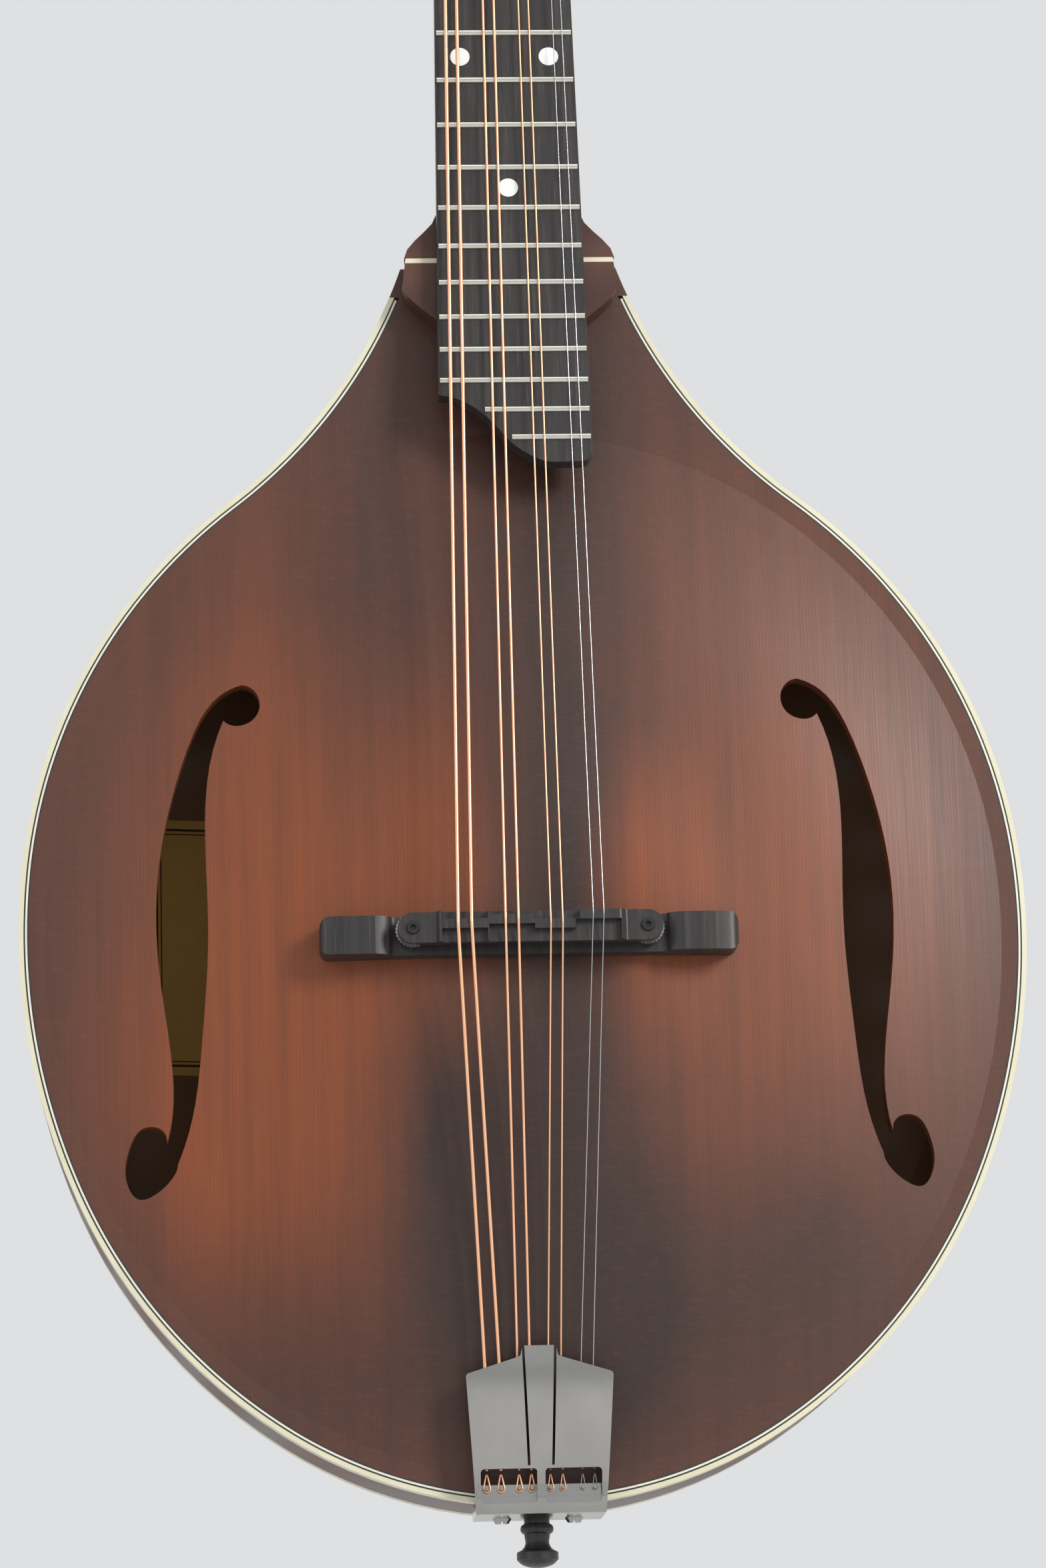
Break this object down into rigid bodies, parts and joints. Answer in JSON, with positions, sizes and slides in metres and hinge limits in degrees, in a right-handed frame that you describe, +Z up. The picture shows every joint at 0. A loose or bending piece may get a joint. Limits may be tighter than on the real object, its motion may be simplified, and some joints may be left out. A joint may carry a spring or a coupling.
{
  "type": "octave mandolin",
  "caption": "Teardrop octave mandolin with carved f-hole top, cream binding, adjustable ebony bridge, cast tailpiece, paired strings and geared tuners.",
  "frame": {"origin": "where the end pin's axis meets the rim at the tail, midway between the rim's front and back edges", "axes": "+Z runs up the neck, the soundboard faces -Y, +X is the treble side"},
  "size_m": [0.3184, 0.1057, 0.9097],
  "materials": {
    "spruce_top": "satin",
    "maple_body": "satin",
    "maple_neck": "satin",
    "inner_wood": "matte",
    "cream_binding": "satin",
    "purfling": "satin",
    "label_paper": "matte",
    "ebony": "satin",
    "fret_silver": "polished",
    "pearl": "gloss",
    "bone": "satin",
    "steel": "satin",
    "brass": "satin",
    "nickel": "polished",
    "bronze_wire": "satin",
    "button_plastic": "gloss"
  },
  "bodies": {
    "instrument": {"soundboard": "spruce_top", "back_plate": "maple_body", "rim": "maple_body", "top_binding": "cream_binding", "back_binding": "cream_binding", "purfling": "purfling", "neck_block": "inner_wood", "tail_block": "inner_wood", "rim_linings": "inner_wood", "tone_bars": "inner_wood", "label": "label_paper", "neck": "maple_neck", "headstock_veneer": "ebony", "fingerboard": "ebony", "fret_wires": "fret_silver", "position_dots": "pearl", "nut": "bone", "truss_rod": "steel", "truss_rod_cover": "ebony", "riser_cap": "maple_neck", "bridge_base": "ebony", "bridge_posts": "steel", "tailpiece": "nickel", "tailpiece_hooks": "nickel", "tailpiece_screws": "nickel", "end_pin": "ebony", "strings_wound": "bronze_wire", "strings_plain": "steel", "tuner_plate_bass": "nickel", "tuner_plate_treble": "nickel", "tuner_ferrules": "nickel", "headstock_screws": "nickel"},
    "tuner_key_1": {"tuner_shaft_1": "nickel", "tuner_button_1": "button_plastic"},
    "tuner_post_1": {"tuner_post_1": "nickel"},
    "tuner_key_2": {"tuner_shaft_2": "nickel", "tuner_button_2": "button_plastic"},
    "tuner_post_2": {"tuner_post_2": "nickel"},
    "tuner_key_3": {"tuner_shaft_3": "nickel", "tuner_button_3": "button_plastic"},
    "tuner_post_3": {"tuner_post_3": "nickel"},
    "tuner_key_4": {"tuner_shaft_4": "nickel", "tuner_button_4": "button_plastic"},
    "tuner_post_4": {"tuner_post_4": "nickel"},
    "tuner_key_5": {"tuner_shaft_5": "nickel", "tuner_button_5": "button_plastic"},
    "tuner_post_5": {"tuner_post_5": "nickel"},
    "tuner_key_6": {"tuner_shaft_6": "nickel", "tuner_button_6": "button_plastic"},
    "tuner_post_6": {"tuner_post_6": "nickel"},
    "tuner_key_7": {"tuner_shaft_7": "nickel", "tuner_button_7": "button_plastic"},
    "tuner_post_7": {"tuner_post_7": "nickel"},
    "tuner_key_8": {"tuner_shaft_8": "nickel", "tuner_button_8": "button_plastic"},
    "tuner_post_8": {"tuner_post_8": "nickel"},
    "saddle": {"bridge_saddle": "ebony"},
    "wheel_bass": {"bridge_wheel_bass": "nickel"},
    "wheel_treble": {"bridge_wheel_treble": "nickel"},
    "truss_nut": {"truss_rod_nut": "brass"}
  },
  "joints": [
    {"name": "tuner_key_1_turn", "type": "hinge", "parent": "instrument", "child": "tuner_key_1", "pos_m": [-0.043, 0.01636, 0.77517], "axis": [-1, 0, 0], "continuous": true},
    {"name": "tuner_post_1_turn", "type": "hinge", "parent": "instrument", "child": "tuner_post_1", "pos_m": [-0.02, 0.0009, 0.78958], "axis": [0, -0.953, 0.303], "continuous": true},
    {"name": "tuner_key_2_turn", "type": "hinge", "parent": "instrument", "child": "tuner_key_2", "pos_m": [-0.043, 0.02333, 0.79709], "axis": [-1, 0, 0], "continuous": true},
    {"name": "tuner_post_2_turn", "type": "hinge", "parent": "instrument", "child": "tuner_post_2", "pos_m": [-0.0194, 0.00787, 0.8115], "axis": [0, -0.953, 0.303], "continuous": true},
    {"name": "tuner_key_3_turn", "type": "hinge", "parent": "instrument", "child": "tuner_key_3", "pos_m": [-0.043, 0.0303, 0.81901], "axis": [-1, 0, 0], "continuous": true},
    {"name": "tuner_post_3_turn", "type": "hinge", "parent": "instrument", "child": "tuner_post_3", "pos_m": [-0.0188, 0.01484, 0.83342], "axis": [0, -0.953, 0.303], "continuous": true},
    {"name": "tuner_key_4_turn", "type": "hinge", "parent": "instrument", "child": "tuner_key_4", "pos_m": [-0.043, 0.03726, 0.84093], "axis": [-1, 0, 0], "continuous": true},
    {"name": "tuner_post_4_turn", "type": "hinge", "parent": "instrument", "child": "tuner_post_4", "pos_m": [-0.0182, 0.02181, 0.85534], "axis": [0, -0.953, 0.303], "continuous": true},
    {"name": "tuner_key_5_turn", "type": "hinge", "parent": "instrument", "child": "tuner_key_5", "pos_m": [0.043, 0.01636, 0.77517], "axis": [1, 0, 0], "continuous": true},
    {"name": "tuner_post_5_turn", "type": "hinge", "parent": "instrument", "child": "tuner_post_5", "pos_m": [0.02, 0.0009, 0.78958], "axis": [0, -0.953, 0.303], "continuous": true},
    {"name": "tuner_key_6_turn", "type": "hinge", "parent": "instrument", "child": "tuner_key_6", "pos_m": [0.043, 0.02333, 0.79709], "axis": [1, 0, 0], "continuous": true},
    {"name": "tuner_post_6_turn", "type": "hinge", "parent": "instrument", "child": "tuner_post_6", "pos_m": [0.0194, 0.00787, 0.8115], "axis": [0, -0.953, 0.303], "continuous": true},
    {"name": "tuner_key_7_turn", "type": "hinge", "parent": "instrument", "child": "tuner_key_7", "pos_m": [0.043, 0.0303, 0.81901], "axis": [1, 0, 0], "continuous": true},
    {"name": "tuner_post_7_turn", "type": "hinge", "parent": "instrument", "child": "tuner_post_7", "pos_m": [0.0188, 0.01484, 0.83342], "axis": [0, -0.953, 0.303], "continuous": true},
    {"name": "tuner_key_8_turn", "type": "hinge", "parent": "instrument", "child": "tuner_key_8", "pos_m": [0.043, 0.03726, 0.84093], "axis": [1, 0, 0], "continuous": true},
    {"name": "tuner_post_8_turn", "type": "hinge", "parent": "instrument", "child": "tuner_post_8", "pos_m": [0.0182, 0.02181, 0.85534], "axis": [0, -0.953, 0.303], "continuous": true},
    {"name": "saddle_height", "type": "slide", "parent": "instrument", "child": "saddle", "axis": [0, -1, 0], "range_m": [-0.0015, 0.002], "deforming": ["strings_wound", "strings_plain"]},
    {"name": "bridge_wheel_bass_turn", "type": "hinge", "parent": "saddle", "child": "wheel_bass", "pos_m": [-0.0364, -0.047, 0.1755], "axis": [0, -1, 0], "range_deg": [-780, 1040]},
    {"name": "bridge_wheel_treble_turn", "type": "hinge", "parent": "saddle", "child": "wheel_treble", "pos_m": [0.0364, -0.047, 0.1755], "axis": [0, -1, 0], "range_deg": [-780, 1040]},
    {"name": "truss_rod_nut_turn", "type": "hinge", "parent": "instrument", "child": "truss_nut", "pos_m": [0, -0.00384, 0.75707], "axis": [0, 0.0635, 0.998], "range_deg": [-180, 180]}
  ],
  "couplings": [
    {"joint": "tuner_post_1_turn", "follows": "tuner_key_1_turn", "ratio": 0.0625},
    {"joint": "tuner_post_2_turn", "follows": "tuner_key_2_turn", "ratio": 0.0625},
    {"joint": "tuner_post_3_turn", "follows": "tuner_key_3_turn", "ratio": 0.0625},
    {"joint": "tuner_post_4_turn", "follows": "tuner_key_4_turn", "ratio": 0.0625},
    {"joint": "tuner_post_5_turn", "follows": "tuner_key_5_turn", "ratio": 0.0625},
    {"joint": "tuner_post_6_turn", "follows": "tuner_key_6_turn", "ratio": 0.0625},
    {"joint": "tuner_post_7_turn", "follows": "tuner_key_7_turn", "ratio": 0.0625},
    {"joint": "tuner_post_8_turn", "follows": "tuner_key_8_turn", "ratio": 0.0625},
    {"joint": "bridge_wheel_bass_turn", "follows": "saddle_height", "rad_per_m": 8976},
    {"joint": "bridge_wheel_treble_turn", "follows": "saddle_height", "rad_per_m": 8976}
  ]
}
